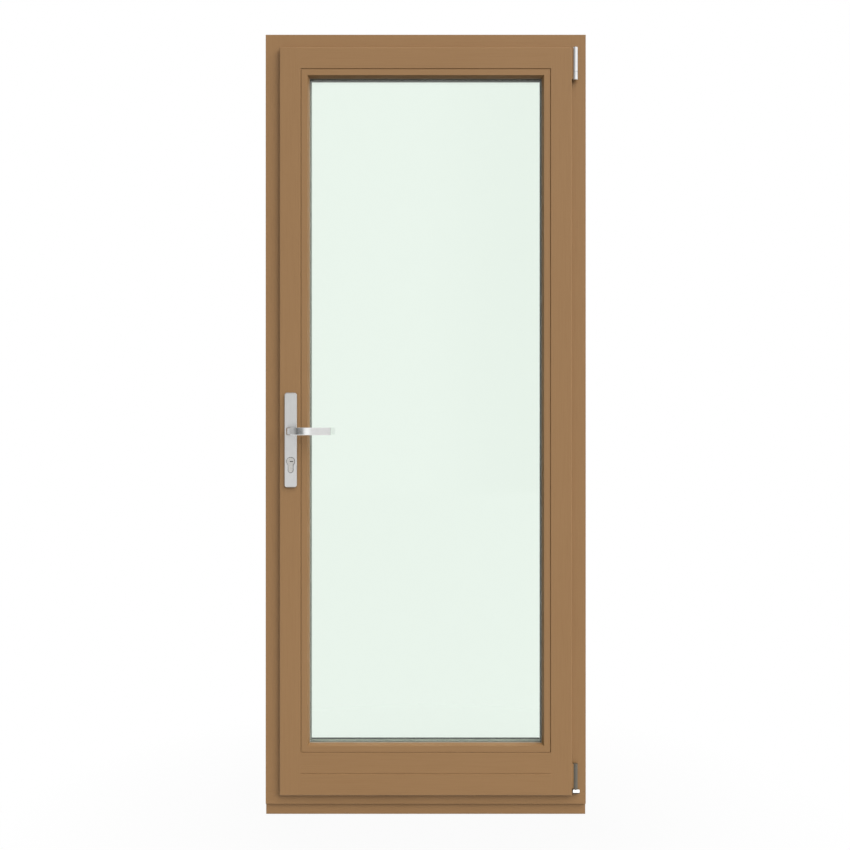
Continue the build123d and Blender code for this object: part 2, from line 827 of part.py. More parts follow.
# Keepers on the jamb: the wall stands on the room side of a raised cam only
keeper_face = -rebate_x + keeper_base
wall_back = gear_depth - cam_roller - keeper_wall_gap
wall_front = wall_back - keeper_wall
wall_tip = gear_x - keeper_top_gap
lock_keepers = []
for height in cam_heights:
    low = height - keeper_margin
    high = height + stroke + keeper_margin
    plate = along_x(lozenge(gear_depth, low, high, keeper_width), -rebate_x, keeper_face)
    wall_low = height + cam_roller + keeper_wall_gap
    wall_high = height + stroke + cam_roller
    wall = along_z(
        [
            (keeper_face, wall_front),
            (wall_tip, wall_front),
            (wall_tip, wall_back - keeper_wall_gap),
            (wall_tip - keeper_wall_gap, wall_back),
            (keeper_face, wall_back),
        ],
        wall_low, wall_high,
    )
    lock_keepers.append(plate + wall)

# Handle plate: screwed mounting plate under a clipped cover with rounded edges
cover_half = cover_width / 2


def plate_corners(inset):
    left, right = handle_x - cover_half + inset, handle_x + cover_half - inset
    low, high = cover_bottom + inset, cover_top - inset
    return [(x, z, cover_corner - inset) for x, z in ((left, low), (right, low), (right, high), (left, high))]


def cylinder_shape(grow, y0, y1):
    shape = rod_y(handle_x, y0, y1, cylinder_z, cylinder_radius + grow)
    web = cylinder_web / 2 + grow
    shape += block(handle_x - web, handle_x + web, y0, y1, cylinder_foot, cylinder_z)
    return shape + rod_y(handle_x, y0, y1, cylinder_foot, web)


handle_plate = along_y(plate_corners(0), cover_front, leaf_front)
handle_plate = chamfer(handle_plate.edges().group_by(Axis.Y)[0], cover_edge)
handle_plate -= along_y(plate_corners(cover_wall), cover_front + cover_wall, leaf_front)
mounting_inset = cover_wall + mounting_play
handle_base = block(
    handle_x - cover_half + mounting_inset, handle_x + cover_half - mounting_inset,
    mounting_front, leaf_front, cover_bottom + cover_corner, cover_top - cover_corner,
)
neck_bore = lever_neck_radius + collar_ring_play
handle_plate += rod_y(handle_x, collar_front, cover_front, handle_height, collar_ring_radius)
handle_plate -= rod_y(handle_x, collar_front, leaf_front, handle_height, neck_bore)
handle_plate -= cylinder_shape(cylinder_shadow_gap, cover_front, leaf_front)
handle_base -= cylinder_shape(cylinder_play, mounting_front, leaf_front)
handle_base -= rod_y(handle_x, mounting_front, leaf_front, handle_height, lever_neck_radius + hub_play)

# Lever cut from its plan outline, with a round neck, on the square spindle
lever_left = handle_x - lever_neck_radius
lever_right = handle_x + lever_neck_radius
lever_tip = handle_x + lever_length
lever_root = collar_front - lever_neck_length / 2
lever_low = handle_height - lever_height / 2
lever_high = handle_height + lever_height / 2
lever_corners = [
    (lever_left, lever_root),
    (lever_left, lever_front + lever_crown_rise, lever_outer_bend),
    (handle_x + lever_crown, lever_front, lever_bow),
    (lever_tip, lever_front + lever_tip_return, lever_tip_round),
    (lever_tip, lever_front + lever_tip_return + lever_grip, lever_tip_round),
    (handle_x + lever_crown, lever_front + lever_grip, lever_bow),
    (lever_right, lever_front + lever_crown_rise + lever_grip, lever_inner_bend),
    (lever_right, lever_root),
]
lever = along_z(lever_corners, lever_low, lever_high)
lever_edges = lever.edges().group_by(Axis.Z)
lever = chamfer(lever_edges[0] + lever_edges[-1], lever_arris)
lever += rod_y(handle_x, lever_root - lever_neck_length / 2, leaf_front, handle_height, lever_neck_radius)
socket_end = lever_root - lever_socket
lever -= block(
    handle_x - socket, handle_x + socket, socket_end, leaf_front,
    handle_height - socket, handle_height + socket,
)
spindle_half = spindle_width / 2
spindle = block(
    handle_x - spindle_half, handle_x + spindle_half, socket_end, case_back,
    handle_height - spindle_half, handle_height + spindle_half,
)
grub_y = lever_root - lever_neck_length
grub_top = handle_height - spindle_half - spindle_play
lever -= rod_z(handle_x, grub_y, lever_low, grub_top, grub_radius + grub_play)
lever_screw = rod_z(handle_x, grub_y, grub_top - grub_length, grub_top, grub_radius)

# Cylinder with a turning plug, keyway and cam
cylinder_body = cylinder_shape(0, cylinder_front, cylinder_end)
cylinder_body -= rod_y(handle_x, cylinder_front, cylinder_end, cylinder_z, plug_radius + plug_play)
plug_front = cylinder_front - plug_proud
plug_end = cylinder_end + cam_gap
cylinder_plug = rod_y(handle_x, plug_front, plug_end, cylinder_z, plug_radius)
cylinder_plug -= block(
    handle_x - key_start, handle_x - key_start + key_width, plug_front, plug_front + key_depth,
    cylinder_z - key_thickness / 2, cylinder_z + key_thickness / 2,
)
cam_end = plug_end + cam_thickness
cylinder_cam = rod_y(handle_x, plug_end, cam_end, cylinder_z, cam_radius)
nose = block(
    handle_x - cam_nose_width / 2, handle_x + cam_nose_width / 2, plug_end, cam_end,
    cylinder_z - cam_nose_radius, cylinder_z,
)
cylinder_cam += nose & rod_y(handle_x, plug_end, cam_end, cylinder_z, cam_nose_radius)

# Pockets and holes in the lock stile
leaf_lock_stile -= block(
    gear_x, faceplate_back, gear_depth - faceplate_width / 2 - mounting_play,
    gear_depth + faceplate_width / 2 + mounting_play, faceplate_bottom, faceplate_top,
)
leaf_lock_stile -= block(
    faceplate_back, faceplate_back + bar_groove_depth, gear_depth - bar_groove_width / 2,
    gear_depth + bar_groove_width / 2, bar_bottom - bar_play, bar_top + stroke + bar_play,
)
leaf_lock_stile -= block(
    faceplate_back, case_end + case_play, case_front - case_play, case_back + case_play,
    case_low - case_play, case_high + case_play,
)
leaf_lock_stile -= rod_y(handle_x, leaf_front, case_front, handle_height, spindle_hole_radius)
leaf_lock_stile -= cylinder_shape(cylinder_play, leaf_front, cam_end + cam_pocket_play)

# Every piece in its own file
nodes = {
    "frame_head": frame_head,
    "frame_lock_jamb": frame_lock_jamb,
    "frame_hinge_jamb": frame_hinge_jamb,
    "frame_head_stop": frame_head_stop,
    "frame_lock_stop": frame_lock_stop,
    "frame_hinge_stop": frame_hinge_stop,
    "frame_sill": frame_sill,
    "sill_base": sill_base,
    "rain_rail": rain_rail,
    "rain_rail_caps": rain_rail_caps,
    "lock_keepers": solid_group(lock_keepers),
    "top_hinge_bearing": top_hinge_bearing,
    "top_hinge_pin": top_hinge_pin,
    "bottom_hinge_bearing": bottom_hinge_bearing,
    "bottom_hinge_pin": bottom_hinge_pin,
    "leaf_lock_stile": leaf_lock_stile,
    "leaf_hinge_stile": leaf_hinge_stile,
    "leaf_top_rail": leaf_top_rail,
    "leaf_upper_board": leaf_upper_board,
    "leaf_lower_board": leaf_lower_board,
    "bead_top": bead_top,
    "bead_bottom": bead_bottom,
    "bead_lock": bead_lock,
    "bead_hinge": bead_hinge,
    "inner_pane": inner_pane,
    "outer_pane": outer_pane,
    "spacer_bar": spacer_bar,
    "edge_sealant": edge_sealant,
    "setting_blocks": setting_blocks,
    "inner_glazing_seal": inner_glazing_seal,
    "outer_glazing_seal": outer_glazing_seal,
    "leaf_gasket": leaf_gasket,
    "drip_bar": drip_bar,
    "gear_faceplate": gear_faceplate,
    "gear_case": gear_case,
    "gear_cover": gear_cover,
    "handle_base": handle_base,
    "handle_plate": handle_plate,
    "cylinder_body": cylinder_body,
    "bottom_hinge_strap": bottom_hinge_strap,
    "top_hinge_strap": top_hinge_strap,
    "lever": lever,
    "spindle": spindle,
    "follower_pinion": follower_pinion,
    "lever_screw": lever_screw,
    "drive_bar": drive_bar,
    "locking_cams": solid_group(locking_cams),
    "cylinder_plug": cylinder_plug,
    "cylinder_cam": cylinder_cam,
}
for name, shape in nodes.items():
    export_step(Pos(0, -frame_depth / 2, 0) * solid_group([shape]), f"parts/{name}.step")
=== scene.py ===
import bmesh
import bpy
import json
import math
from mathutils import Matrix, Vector


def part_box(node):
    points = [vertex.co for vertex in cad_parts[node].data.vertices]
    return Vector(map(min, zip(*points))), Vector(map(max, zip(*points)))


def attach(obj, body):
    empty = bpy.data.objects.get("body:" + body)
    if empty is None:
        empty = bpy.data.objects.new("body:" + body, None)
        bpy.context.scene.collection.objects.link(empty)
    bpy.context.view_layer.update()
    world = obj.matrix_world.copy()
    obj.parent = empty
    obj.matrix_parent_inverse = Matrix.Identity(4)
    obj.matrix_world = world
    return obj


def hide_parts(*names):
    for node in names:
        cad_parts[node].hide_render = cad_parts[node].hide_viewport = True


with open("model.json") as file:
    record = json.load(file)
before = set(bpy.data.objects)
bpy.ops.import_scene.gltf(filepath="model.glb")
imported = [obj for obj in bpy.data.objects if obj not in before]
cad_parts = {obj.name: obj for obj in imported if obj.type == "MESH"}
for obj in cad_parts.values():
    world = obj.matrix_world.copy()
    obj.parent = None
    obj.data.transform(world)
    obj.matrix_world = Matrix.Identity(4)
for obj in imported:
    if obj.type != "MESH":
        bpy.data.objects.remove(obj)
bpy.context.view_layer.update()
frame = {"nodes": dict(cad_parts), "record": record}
nodes = frame["nodes"]
mm = 0.001
print("frame loaded:", len(nodes), "nodes")


def hexToLinear(text):
    parts = [int(text[i:i + 2], 16) / 255 for i in (1, 3, 5)]
    return tuple(p / 12.92 if p <= 0.04045 else ((p + 0.055) / 1.055) ** 2.4 for p in parts) + (1.0,)


def addNode(tree, kind, inputs=None, **settings):  # a node, its settings, and its inputs as values or links
    made = tree.nodes.new(kind)
    for name, value in settings.items():
        setattr(made, name, value)
    for name, value in (inputs or {}).items():
        if isinstance(value, bpy.types.NodeSocket):
            tree.links.new(value, made.inputs[name])
        else:
            made.inputs[name].default_value = value
    return made


def startMaterial(name):
    material = bpy.data.materials.new(name)
    material.use_nodes = True
    tree = material.node_tree
    tree.nodes.clear()
    shader = addNode(tree, "ShaderNodeBsdfPrincipled")
    addNode(tree, "ShaderNodeOutputMaterial", {"Surface": shader.outputs[0]})
    place = addNode(tree, "ShaderNodeTexCoord").outputs["Object"]
    return material, tree, shader, place


def setSurface(tree, surface):  # another shader in place of the plain one
    output = next(node for node in tree.nodes if node.type == "OUTPUT_MATERIAL")
    tree.links.new(surface, output.inputs["Surface"])


def linkFinish(tree, shader, colour, rough, relief):
    tree.links.new(colour.outputs[2], shader.inputs["Base Color"])
    tree.links.new(rough.outputs[0], shader.inputs["Roughness"])
    tree.links.new(relief.outputs[0], shader.inputs["Normal"])


def dress(material, *names):  # the CAD nodes keep their meshes and take one material
    for name in names:
        mesh = nodes[name].data
        mesh.materials.clear()
        mesh.materials.append(material)


# bends below these degrees are shaded smooth, on the CAD nodes and on the pieces made here
smoothing = {"joinWithin": 0.001 * mm, "nodeBend": 28, "pieceBend": 40}


def smoothTree():  # joins a CAD node's loose facets and rounds the shading where they bend gently
    tree = bpy.data.node_groups.new("smoothGentleBends", "GeometryNodeTree")
    tree.interface.new_socket("Geometry", in_out="INPUT", socket_type="NodeSocketGeometry")
    tree.interface.new_socket("Geometry", in_out="OUTPUT", socket_type="NodeSocketGeometry")
    given = addNode(tree, "NodeGroupInput").outputs
    joined = addNode(tree, "GeometryNodeMergeByDistance", {
        "Geometry": given["Geometry"], "Distance": smoothing["joinWithin"]})
    bend = addNode(tree, "GeometryNodeInputMeshEdgeAngle")
    gentle = addNode(tree, "FunctionNodeCompare", {0: bend.outputs[0], 1: math.radians(smoothing["nodeBend"])},
                     operation="LESS_THAN")
    faces = addNode(tree, "GeometryNodeSetShadeSmooth", {0: joined.outputs[0]}, domain="FACE")
    edges = addNode(tree, "GeometryNodeSetShadeSmooth", {0: faces.outputs[0], 2: gentle.outputs[0]},
                    domain="EDGE")
    addNode(tree, "NodeGroupOutput", {0: edges.outputs[0]})
    return tree


smoothBends = smoothTree()
for name, node in nodes.items():
    if not name.endswith("_pane"):  # the panes are flat as they are
        node.modifiers.new("smooth", "NODES").node_group = smoothBends
        node.modifiers.new("evenNormals", "WEIGHTED_NORMAL").keep_sharp = True

# opaque satin stain sprayed on planed timber: an even brown with faint grain lines and a soft sheen
timber = {
    "colour": "#95724C",
    "toneColour": "#997650",
    "grainColour": "#876542",
    "grainShare": 0.35,
    "grainWidth": 1.6 * mm,
    "grainLength": 90 * mm,
    "grainWander": 0.4,
    "grainContrast": (0.45, 0.8),
    "toneSize": 320 * mm,
    "sprayGrit": 0.7 * mm,
    "roughness": (0.42, 0.54),
    "sheen": 0.35,
    "reliefHeight": 0.05 * mm,
    "reliefStrength": 0.25,
}


def timberMaterial(name, along):  # the grain runs along X, Y or Z
    material, tree, shader, place = startMaterial(name)
    stretch = [1 / timber["grainWidth"]] * 3
    stretch["XYZ".index(along)] = 1 / timber["grainLength"]
    lined = addNode(tree, "ShaderNodeMapping", {"Vector": place, "Scale": stretch})
    grain = addNode(tree, "ShaderNodeTexNoise", {
        "Vector": lined.outputs[0], "Scale": 1.0, "Detail": 3.0, "Distortion": timber["grainWander"]})
    low, high = timber["grainContrast"]
    lines = addNode(tree, "ShaderNodeMapRange", {"Value": grain.outputs[0], "From Min": low, "From Max": high})
    tone = addNode(tree, "ShaderNodeTexNoise", {
        "Vector": place, "Scale": 1 / timber["toneSize"], "Detail": 2.0})
    spray = addNode(tree, "ShaderNodeTexNoise", {
        "Vector": place, "Scale": 1 / timber["sprayGrit"], "Detail": 1.0})
    ground = addNode(tree, "ShaderNodeMix", {
        0: tone.outputs[0], 6: hexToLinear(timber["colour"]), 7: hexToLinear(timber["toneColour"])},
        data_type="RGBA")
    share = addNode(tree, "ShaderNodeMath", {0: lines.outputs[0], 1: timber["grainShare"]},
                    operation="MULTIPLY")
    colour = addNode(tree, "ShaderNodeMix", {
        0: share.outputs[0], 6: ground.outputs[2], 7: hexToLinear(timber["grainColour"])}, data_type="RGBA")
    low, high = timber["roughness"]
    rough = addNode(tree, "ShaderNodeMapRange", {"Value": spray.outputs[0], "To Min": low, "To Max": high})
    height = addNode(tree, "ShaderNodeMath", {0: spray.outputs[0], 1: lines.outputs[0]}, operation="SUBTRACT")
    relief = addNode(tree, "ShaderNodeBump", {
        "Height": height.outputs[0], "Strength": timber["reliefStrength"], "Distance": timber["reliefHeight"]})
    shader.inputs["Specular IOR Level"].default_value = timber["sheen"]
    linkFinish(tree, shader, colour, rough, relief)
    return material


uprightTimber = timberMaterial("stainedTimberUpright", "Z")
levelTimber = timberMaterial("stainedTimberLevel", "X")
dress(uprightTimber, "frame_lock_jamb", "frame_hinge_jamb", "frame_lock_stop", "frame_hinge_stop",
      "leaf_lock_stile", "leaf_hinge_stile", "bead_lock", "bead_hinge")
dress(levelTimber, "frame_head", "frame_head_stop", "frame_sill", "sill_base", "leaf_top_rail",
      "leaf_upper_board", "leaf_lower_board", "bead_top", "bead_bottom")
print("timber dressed")

# what all lined finishes share: how much is cloud, how far the tones spread, and how deep a line is
lining = {"cloudShare": 0.4, "contrast": (0.3, 0.7), "lineDepth": 0.02 * mm, "sheen": 0.5}


def linedMaterial(recipe):  # metal, rubber or plastic with drawn or ground lines along one direction
    material, tree, shader, place = startMaterial(recipe["name"])
    stretch = [1 / recipe["lineWidth"]] * 3
    stretch["XYZ".index(recipe["along"])] = 1 / recipe["lineLength"]
    lined = addNode(tree, "ShaderNodeMapping", {"Vector": place, "Scale": stretch})
    lines = addNode(tree, "ShaderNodeTexNoise", {"Vector": lined.outputs[0], "Scale": 1.0, "Detail": 2.0})
    cloud = addNode(tree, "ShaderNodeTexNoise", {
        "Vector": place, "Scale": 1 / recipe["cloudSize"], "Detail": 3.0})
    blend = addNode(tree, "ShaderNodeMix", {0: lining["cloudShare"], 2: lines.outputs[0], 3: cloud.outputs[0]})
    low, high = lining["contrast"]
    spread = addNode(tree, "ShaderNodeMapRange", {"Value": blend.outputs[0], "From Min": low, "From Max": high})
    colour = addNode(tree, "ShaderNodeMix", {
        0: spread.outputs[0], 6: hexToLinear(recipe["dark"]), 7: hexToLinear(recipe["light"])},
        data_type="RGBA")
    low, high = recipe["roughness"]
    rough = addNode(tree, "ShaderNodeMapRange", {"Value": spread.outputs[0], "To Min": low, "To Max": high})
    relief = addNode(tree, "ShaderNodeBump", {
        "Height": lines.outputs[0], "Strength": recipe["relief"], "Distance": lining["lineDepth"]})
    shader.inputs["Metallic"].default_value = recipe["metallic"]
    shader.inputs["Specular IOR Level"].default_value = recipe.get("sheen", lining["sheen"])
    linkFinish(tree, shader, colour, rough, relief)
    return material


# stainless steel ground with a fine belt: grey with soft upright or level hairlines
groundSteel = {"dark": "#B8B8B7", "light": "#CACAC9", "metallic": 1.0, "roughness": (0.34, 0.42),
               "lineWidth": 0.35 * mm, "lineLength": 40 * mm, "cloudSize": 30 * mm, "relief": 0.12}
plateSteel = linedMaterial({**groundSteel, "name": "groundSteelUpright", "along": "Z"})
leverSteel = linedMaterial({**groundSteel, "name": "groundSteelLevel", "along": "X",
                            "roughness": (0.10, 0.16)})
dress(plateSteel, "handle_plate")
dress(leverSteel, "lever")

# bright chrome plate on the hinges: a clean mirror with the faint ripple of the polished casting
hingeChrome = linedMaterial({"name": "polishedChromePlate", "dark": "#CFCFCF", "light": "#DCDCDC",
                             "metallic": 1.0, "roughness": (0.05, 0.10), "lineWidth": 6 * mm,
                             "lineLength": 12 * mm, "cloudSize": 9 * mm, "relief": 0.03, "along": "Z"})
dress(hingeChrome, "top_hinge_bearing", "top_hinge_strap", "top_hinge_pin", "bottom_hinge_pin")

# die cast bearing polished bright: nearly white with soft polishing marks
bearingMetal = linedMaterial({"name": "polishedCastAluminium", "dark": "#E4E4E2", "light": "#F2F2F0",
                              "metallic": 1.0, "roughness": (0.20, 0.28), "lineWidth": 0.5 * mm,
                              "lineLength": 8 * mm, "cloudSize": 6 * mm, "relief": 0.05, "along": "X"})
dress(bearingMetal, "bottom_hinge_bearing")

# grey brown lacquer baked on the lower hinge sleeve: a soft shine with fine orange peel
sleeveLacquer = linedMaterial({"name": "bakedHingeLacquer", "dark": "#554F43", "light": "#5F594D",
                               "metallic": 0.0, "roughness": (0.30, 0.40), "lineWidth": 0.9 * mm,
                               "lineLength": 1.1 * mm, "cloudSize": 10 * mm, "relief": 0.10, "along": "Z"})
dress(sleeveLacquer, "bottom_hinge_strap")

# zinc plated steel of the lock gear: cool grey with a mottled dull shine
gearZinc = linedMaterial({"name": "rolledZincPlatedSteel", "dark": "#9EA3A8", "light": "#BFC3C6",
                          "metallic": 1.0, "roughness": (0.32, 0.46), "lineWidth": 0.8 * mm,
                          "lineLength": 25 * mm, "cloudSize": 7 * mm, "relief": 0.10, "along": "Z"})
dress(gearZinc, "gear_faceplate", "gear_case", "gear_cover", "drive_bar", "locking_cams", "lock_keepers",
      "follower_pinion", "spindle", "lever_screw", "handle_base", "cylinder_cam")

# matt nickel on turned brass: pale grey with fine turning lines
cylinderNickel = linedMaterial({"name": "turnedNickelPlatedBrass", "dark": "#A9A7A3", "light": "#BDBBB7",
                                "metallic": 1.0, "roughness": (0.24, 0.34), "lineWidth": 0.4 * mm,
                                "lineLength": 9 * mm, "cloudSize": 5 * mm, "relief": 0.08, "along": "X"})
dress(cylinderNickel, "cylinder_body", "cylinder_plug")

# brass pins deep in the keyway, painted nearly black as the shade inside the slot
keywayShadeBrass = linedMaterial({"name": "keywayPinsPaintedShade", "dark": "#1E1B17", "light": "#2C2721", "metallic": 0.0,
                            "sheen": 0.2, "roughness": (0.5, 0.65), "lineWidth": 0.3 * mm,
                            "lineLength": 2 * mm, "cloudSize": 2 * mm, "relief": 0.1, "along": "Y"})

# extruded aluminium, satin anodised: pale grey with long drawn lines
railAluminium = linedMaterial({"name": "anodisedAluminiumExtrusion", "dark": "#AEB0B1", "light": "#C3C5C6",
                               "metallic": 1.0, "roughness": (0.34, 0.44), "lineWidth": 0.9 * mm,
                               "lineLength": 400 * mm, "cloudSize": 60 * mm, "relief": 0.10,
                               "along": "X"})
dress(railAluminium, "rain_rail", "drip_bar")

# extruded composite spacer between the panes: matt grey with drawn lines
spacerComposite = linedMaterial({"name": "extrudedGreyComposite", "dark": "#7A7B73", "light": "#888980",
                                 "metallic": 0.0, "sheen": 0.05, "roughness": (0.55, 0.70),
                                 "lineWidth": 0.7 * mm, "lineLength": 150 * mm, "cloudSize": 40 * mm,
                                 "relief": 0.08, "along": "Z"})
dress(spacerComposite, "spacer_bar")

# extruded rubber round the leaf and the glass edge: matt black with drawn lines and a dusty bloom
gasketRubber = linedMaterial({"name": "extrudedBlackRubber", "dark": "#1B1C1B", "light": "#2B2D2B",
                              "metallic": 0.0, "roughness": (0.55, 0.72), "lineWidth": 0.6 * mm,
                              "lineLength": 60 * mm, "cloudSize": 14 * mm, "relief": 0.20, "along": "Z"})
dress(gasketRubber, "edge_sealant")

# extruded grey silicone against the inner pane: matt with fine drawn lines
sealSilicone = linedMaterial({"name": "extrudedGreySilicone", "dark": "#958F83", "light": "#A69F93",
                              "metallic": 0.0, "roughness": (0.50, 0.65), "lineWidth": 0.6 * mm,
                              "lineLength": 60 * mm, "cloudSize": 14 * mm, "relief": 0.15, "along": "Z"})

# moulded black plastic of blocks and end caps: fine spark grain
capPlastic = linedMaterial({"name": "mouldedBlackPlastic", "dark": "#242424", "light": "#313131",
                            "metallic": 0.0, "roughness": (0.45, 0.60), "lineWidth": 0.5 * mm,
                            "lineLength": 0.6 * mm, "cloudSize": 20 * mm, "relief": 0.30, "along": "Z"})
dress(capPlastic, "setting_blocks", "rain_rail_caps")
print("fittings dressed")

# float glass, green in its depth: clear face on, and lamps shine through it
glass = {"name": "polishedFloatGlass", "tint": "#F2F8F3", "ior": 1.5, "ripple": 700 * mm, "waviness": 0.02,
         "waveHeight": 1 * mm}


def glassMaterial():
    material, tree, shader, place = startMaterial(glass["name"])
    shader.inputs["Base Color"].default_value = hexToLinear(glass["tint"])
    shader.inputs["Transmission Weight"].default_value = 1.0
    shader.inputs["Roughness"].default_value = 0.0
    shader.inputs["IOR"].default_value = glass["ior"]
    wave = addNode(tree, "ShaderNodeTexNoise", {"Vector": place, "Scale": 1 / glass["ripple"], "Detail": 1.0})
    relief = addNode(tree, "ShaderNodeBump", {
        "Height": wave.outputs[0], "Strength": glass["waviness"], "Distance": glass["waveHeight"]})
    tree.links.new(relief.outputs[0], shader.inputs["Normal"])
    clear = addNode(tree, "ShaderNodeBsdfTransparent", {"Color": hexToLinear(glass["tint"])})
    rays = addNode(tree, "ShaderNodeLightPath")
    mixed = addNode(tree, "ShaderNodeMixShader", {
        0: rays.outputs["Is Shadow Ray"], 1: shader.outputs[0], 2: clear.outputs[0]})
    setSurface(tree, mixed.outputs[0])
    return material


dress(glassMaterial(), "inner_pane", "outer_pane")
print("glass dressed")


def keepPiece(name, mesh, material, body, slot, *replaced):  # a finished mesh becomes a piece of one body
    mesh.materials.clear()
    mesh.materials.append(material)
    piece = bpy.data.objects.new(name, mesh)
    bpy.context.scene.collection.objects.link(piece)
    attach(piece, body)
    if replaced:
        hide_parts(*replaced)


def closedMesh(name, points, faces, rounding=0.0):  # faces turned outward, edges rounded, gentle bends smooth
    mesh = bpy.data.meshes.new(name)
    mesh.from_pydata(points, [], faces)
    build = bmesh.new()
    build.from_mesh(mesh)
    bmesh.ops.recalc_face_normals(build, faces=build.faces)
    if rounding:
        bmesh.ops.bevel(build, geom=build.edges[:], offset=rounding, segments=2, profile=0.5, affect="EDGES")
    build.to_mesh(mesh)
    build.free()
    mesh.shade_smooth()
    mesh.set_sharp_from_angle(angle=math.radians(smoothing["pieceBend"]))
    return mesh


def loopMesh(name, loops):  # equal closed loops of points, skinned one to the next and back to the first
    count, total = len(loops[0]), len(loops) * len(loops[0])
    faces = []
    for row in range(0, total, count):
        onward = (row + count) % total
        faces += [(row + i, row + (i + 1) % count, onward + (i + 1) % count, onward + i) for i in range(count)]
    return closedMesh(name, [point for loop in loops for point in loop], faces)


def ringMesh(name, profile, x, low, high):  # a closed profile of (inset, depth) round a mitred rectangle
    corners = ((-1, 1), (1, 1), (1, -1), (-1, -1))
    loops = [[(side * (x - inset), depth, low + inset if up > 0 else high - inset) for side, up in corners]
             for inset, depth in profile]
    return loopMesh(name, loops)


def prismMesh(name, prisms, axis, rounding):  # outlines drawn along X, Y or Z, each from its start to its end
    points, faces = [], []
    for outline, start, end in prisms:
        first, count = len(points), len(outline)
        for depth in (start, end):
            for pair in outline:
                point = list(pair)
                point.insert("XYZ".index(axis), depth)
                points.append(point)
        faces += [[first + i for i in range(count)], [first + count + i for i in range(count)]]
        faces += [(first + i, first + (i + 1) % count, first + count + (i + 1) % count, first + count + i)
                  for i in range(count)]
    return closedMesh(name, points, faces, rounding)


# glazing seals with a rounded nose that shows beside the bead
seals = {"inner": 10 * mm, "outer": 13 * mm, "nose": 1.6 * mm, "steps": 8}
for side, finish, slot in (("inner", sealSilicone, "grey_rubber"), ("outer", gasketRubber, "black_rubber")):
    node, label, width = side + "_glazing_seal", side + "GlazingSeal", seals[side]
    low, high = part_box(node)
    middle, half = (low[1] + high[1]) / 2, (high[1] - low[1]) / 2
    profile = [(0, high[1]), (0, low[1])]
    for step in range(seals["steps"] + 1):
        turn = math.pi * (step / seals["steps"] - 0.5)
        profile.append((width - seals["nose"] + seals["nose"] * math.cos(turn),
                        middle + half * math.sin(turn)))
    keepPiece(label, ringMesh(label, profile, high[0], low[2], high[2]), finish, "leaf", slot, node)

# gasket on the back of the leaf: a barbed foot in its groove and a domed head against the stop
gasket = {"headWidth": 8 * mm, "headRim": 0.3 * mm, "footDepth": 6 * mm, "stem": 1.1 * mm, "barb": 2 * mm,
          "tip": 0.6 * mm, "steps": 10,
          "footSixths": ((0, "stem"), (1.7, "stem"), (2, "barb"), (3, "stem"), (3.7, "stem"), (4, "barb"))}
low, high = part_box("leaf_gasket")
root, rim = low[1], low[1] + gasket["footDepth"]
centre = gasket["headWidth"] / 2
dome = high[1] - rim - gasket["headRim"]
profile = []
for step in range(gasket["steps"] + 1):
    turn = math.pi * step / gasket["steps"]
    profile.append((centre - centre * math.cos(turn), rim + gasket["headRim"] + dome * math.sin(turn)))
sixth = gasket["footDepth"] / 6
halfFoot = [(centre, rim)]
halfFoot += [(gasket[width], rim - sixths * sixth) for sixths, width in gasket["footSixths"]]
halfFoot.append((gasket["tip"], root))
profile += [(centre + away, depth) for away, depth in halfFoot]
profile += [(centre - away, depth) for away, depth in reversed(halfFoot)]
keepPiece("leafGasket", ringMesh("leafGasket", profile, high[0], low[2], high[2]), gasketRubber, "leaf",
          "black_rubber", "leaf_gasket")
print("seals and gasket made")

# timber cover beads that close the gap between the leaf's edge and the hinge barrels
hingeBead = {"outer": 10.3 * mm, "steps": 6, "rounding": 0.3 * mm,
             "bottom": {"clear": 6.5 * mm, "half": 4.0 * mm, "low": 80 * mm, "high": 148 * mm},
             "top": {"clear": 7.7 * mm, "half": 3.6 * mm, "low": 2066 * mm, "high": 2152 * mm}}
swing = next(joint for joint in frame["record"]["behaviour"]["joints"] if joint["name"] == "leaf_swing")
hingeX, hingeY = swing["pos_m"][:2]
beads = []
for end in ("bottom", "top"):
    bead = hingeBead[end]
    back = hingeX - hingeBead["outer"]
    outline = [(back, hingeY + bead["half"]), (back, hingeY - bead["half"])]
    for step in range(hingeBead["steps"] + 1):
        over = bead["half"] * (2 * step / hingeBead["steps"] - 1)
        outline.append((hingeX - math.sqrt(bead["clear"] ** 2 - over ** 2), hingeY + over))
    beads.append((outline, bead["low"], bead["high"]))
beadMesh = prismMesh("hingeCoverBeads", beads, "Z", hingeBead["rounding"])
keepPiece("hingeCoverBeads", beadMesh, uprightTimber, "leaf", "painted_timber")

# black plastic seat under the collar of the bottom hinge: painted shade for the shadow beneath the collar
collarShadeSeat = {"inset": 0.5 * mm, "height": 2.8 * mm, "rounding": 0.3 * mm}
low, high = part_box("bottom_hinge_bearing")
left, right = low[0] + collarShadeSeat["inset"], high[0] - collarShadeSeat["inset"]
front, back = low[1] + collarShadeSeat["inset"], high[1]
outline = [(left, back), (left, front), (right, front), (right, back)]
seat = prismMesh("collarShadeSeat", [(outline, low[2] - collarShadeSeat["height"], low[2])], "Z", collarShadeSeat["rounding"])
keepPiece("collarShadeSeat", seat, capPlastic, "frame", "block_plastic")

# black bush that closes the gap round the cylinder, with a thin lip on the plate: a ring of painted shade where
# the gap's shadow falls
bush = {"radius": 11 * mm, "web": 6.5 * mm, "footDrop": 24.5 * mm, "proud": 2.5 * mm, "lip": 1.3 * mm,
        "rise": 0.25 * mm, "gap": (0.05 * mm, 0.72 * mm), "depth": 1.4 * mm, "arcSteps": 36, "footSteps": 14}
low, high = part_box("cylinder_plug")
plugX, plugZ, plugFront = (low[0] + high[0]) / 2, (low[2] + high[2]) / 2, low[1]


